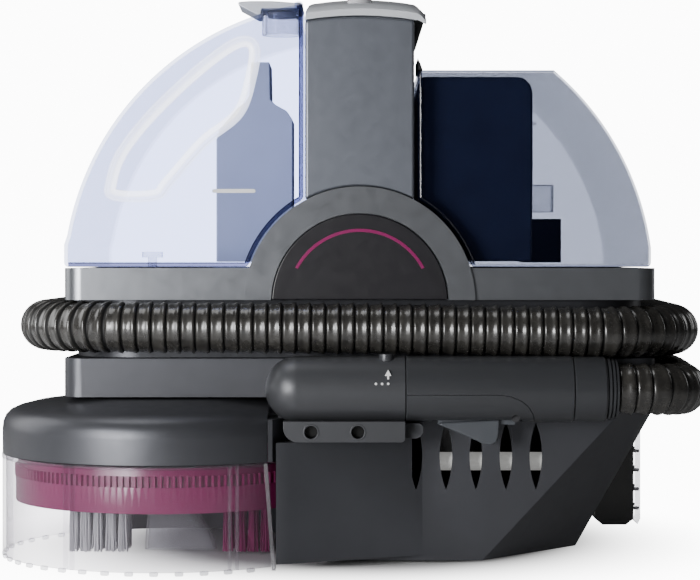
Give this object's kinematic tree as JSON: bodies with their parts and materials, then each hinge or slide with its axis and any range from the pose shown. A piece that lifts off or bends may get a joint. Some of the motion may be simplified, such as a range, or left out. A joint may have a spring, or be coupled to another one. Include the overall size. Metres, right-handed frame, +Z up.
{
  "type": "portable spot extractor",
  "caption": "Portable spot cleaning machine with a hands-free rotating brush dome, clean and dirty tanks either side of a handle tower, and a suction hose wound round the waist.",
  "frame": {"origin": "floor level, centre of the bounding box in plan", "axes": "+Z up, +X to the right seen from the front, -Y out of the front face with the grip dock"},
  "size_m": [0.4569, 0.3497, 0.368],
  "materials": {
    "dark_plastic": "fine grain",
    "black_rubber": "matt",
    "screw_steel": "bright zinc",
    "charcoal_plastic": "satin metallic charcoal",
    "silver_plastic": "satin metallic silver",
    "badge_black": "satin black",
    "tower_grey": "satin metallic grey",
    "cap_grey": "satin metallic light grey",
    "red_button": "gloss",
    "light_button": "gloss",
    "plum_plastic": "satin",
    "clear_tank": "clear pale blue moulding",
    "column_grey": "satin",
    "smoke_tank": "clear smoky navy moulding",
    "navy_plastic": "gloss",
    "float_foam": "matt",
    "dome_window": "clear moulding",
    "clear_bristle": "translucent nylon",
    "plum_bristle": "nylon",
    "clear_nozzle": "clear moulding",
    "nylon_gear": "natural nylon",
    "motor_steel": "drawn steel",
    "dock_plastic": "satin",
    "black_screw": "black oxide",
    "grip_plastic": "satin",
    "trigger_grey": "satin",
    "hose_vinyl": "translucent smoky vinyl",
    "fan_alloy": "pressed",
    "white_plastic": "satin",
    "board_green": "solder resist",
    "black_plastic": "gloss"
  },
  "bodies": {
    "body": {"base_pan": "dark_plastic", "rubber_feet": "black_rubber", "base_screws": "screw_steel", "front_housing": "charcoal_plastic", "rear_housing": "charcoal_plastic", "tank_deck": "silver_plastic", "badge_plate": "badge_black", "tower_front": "tower_grey", "tower_rear": "tower_grey", "top_cap": "cap_grey", "handle_insert": "black_rubber", "tank_seals": "black_rubber", "brush_cover": "charcoal_plastic", "brush_window": "dome_window", "brush_spindle": "dark_plastic", "brush_motor": "motor_steel", "dock_cradle": "dock_plastic", "dock_screws": "black_screw", "hose": "hose_vinyl", "hose_port": "dark_plastic", "hose_rests": "charcoal_plastic", "vacuum_motor": "motor_steel", "fan_housing": "dark_plastic", "water_pump": "dark_plastic", "pump_tube": "white_plastic", "control_board": "board_green", "cord_gland": "black_rubber", "cord_hooks": "charcoal_plastic"},
    "power_button": {"power_button": "red_button"},
    "surface_button": {"surface_button": "light_button"},
    "deep_button": {"deep_button": "plum_plastic"},
    "clean_tank": {"clean_tank": "clear_tank", "tank_column": "column_grey", "cap_hinge_pin": "screw_steel"},
    "clean_tank_cap": {"clean_tank_cap": "cap_grey", "cap_gasket": "black_rubber"},
    "clean_tank_valve": {"clean_tank_valve": "light_button"},
    "dirty_tank": {"dirty_tank": "smoke_tank", "separator": "navy_plastic", "float_cage": "navy_plastic", "dirty_tank_plug": "black_rubber"},
    "tank_float": {"tank_float": "float_foam"},
    "brush_carriage": {"brush_ring": "plum_plastic", "brush_arm": "dark_plastic", "bristles_clear": "clear_bristle", "bristles_plum": "plum_bristle", "suction_nozzle": "clear_nozzle", "spray_nozzle": "dark_plastic"},
    "drive_pinion": {"drive_pinion": "nylon_gear"},
    "release_button": {"release_button": "dock_plastic"},
    "grip": {"grip_upper": "grip_plastic", "grip_lower": "grip_plastic", "grip_nose": "dark_plastic", "trigger_pin": "screw_steel", "hose_collar": "grip_plastic"},
    "trigger": {"trigger": "trigger_grey"},
    "fan_rotor": {"fan_rotor": "fan_alloy"},
    "pump_rotor": {"pump_rotor": "nylon_gear"},
    "stain_tool": {"stain_tool_body": "black_plastic", "stain_tool_window": "clear_nozzle"}
  },
  "joints": [
    {"name": "power_press", "type": "slide", "parent": "body", "child": "power_button", "axis": [0, -1, 0], "range_m": [0, 0.0012], "stiffness_N_per_m": 800, "springref_m": -0.001},
    {"name": "surface_press", "type": "slide", "parent": "body", "child": "surface_button", "axis": [0, 0, -1], "range_m": [0, 0.002], "stiffness_N_per_m": 600, "springref_m": -0.001},
    {"name": "deep_press", "type": "slide", "parent": "body", "child": "deep_button", "axis": [0, 0, -1], "range_m": [0, 0.002], "stiffness_N_per_m": 600, "springref_m": -0.001},
    {"name": "clean_tank_lift", "type": "slide", "parent": "body", "child": "clean_tank", "axis": [0, 0, 1], "range_m": [0, 0.12]},
    {"name": "tank_cap_hinge", "type": "hinge", "parent": "clean_tank", "child": "clean_tank_cap", "pos_m": [-0.0385, -0.06, 0.351], "axis": [0, 1, 0], "range_deg": [0, 90]},
    {"name": "valve_stroke", "type": "slide", "parent": "clean_tank", "child": "clean_tank_valve", "axis": [0, 0, 1], "range_m": [-0.003, 0], "stiffness_N_per_m": 100, "springref_m": 0.002},
    {"name": "dirty_tank_lift", "type": "slide", "parent": "body", "child": "dirty_tank", "axis": [0.2079, 0, 0.9781], "range_m": [0, 0.1]},
    {"name": "float_rise", "type": "slide", "parent": "dirty_tank", "child": "tank_float", "axis": [0, 0, 1], "range_m": [0, 0.02]},
    {"name": "brush_turn", "type": "hinge", "parent": "body", "child": "brush_carriage", "pos_m": [-0.1225, -0.0685, 0.05], "axis": [0, 0, 1], "continuous": true},
    {"name": "pinion_turn", "type": "hinge", "parent": "body", "child": "drive_pinion", "pos_m": [-0.03048, -0.01537, 0.055], "axis": [0, 0, 1], "continuous": true},
    {"name": "release_press", "type": "slide", "parent": "body", "child": "release_button", "axis": [0, 0, -1], "range_m": [0, 0.0015], "stiffness_N_per_m": 400, "springref_m": -0.001},
    {"name": "grip_slide", "type": "slide", "parent": "body", "child": "grip", "axis": [1, 0, 0], "range_m": [0, 0.025], "deforming": ["hose"]},
    {"name": "trigger_pull", "type": "hinge", "parent": "grip", "child": "trigger", "pos_m": [0.0945, -0.1345, 0.0922], "axis": [0, 1, 0], "range_deg": [0, 7], "stiffness_Nm_per_rad": 0.6, "springref_deg": -5.73},
    {"name": "fan_spin", "type": "hinge", "parent": "body", "child": "fan_rotor", "pos_m": [0.062, 0.062, 0.03], "axis": [0, 0, 1], "continuous": true},
    {"name": "pump_spin", "type": "hinge", "parent": "body", "child": "pump_rotor", "pos_m": [-0.08, 0.083, 0.03], "axis": [0, 0, 1], "continuous": true},
    {"name": "stain_tool_slide", "type": "slide", "parent": "body", "child": "stain_tool", "axis": [1, 0, 0], "range_m": [0, 0.03]}
  ],
  "couplings": [
    {"joint": "pinion_turn", "follows": "brush_turn", "ratio": -11.143}
  ]
}
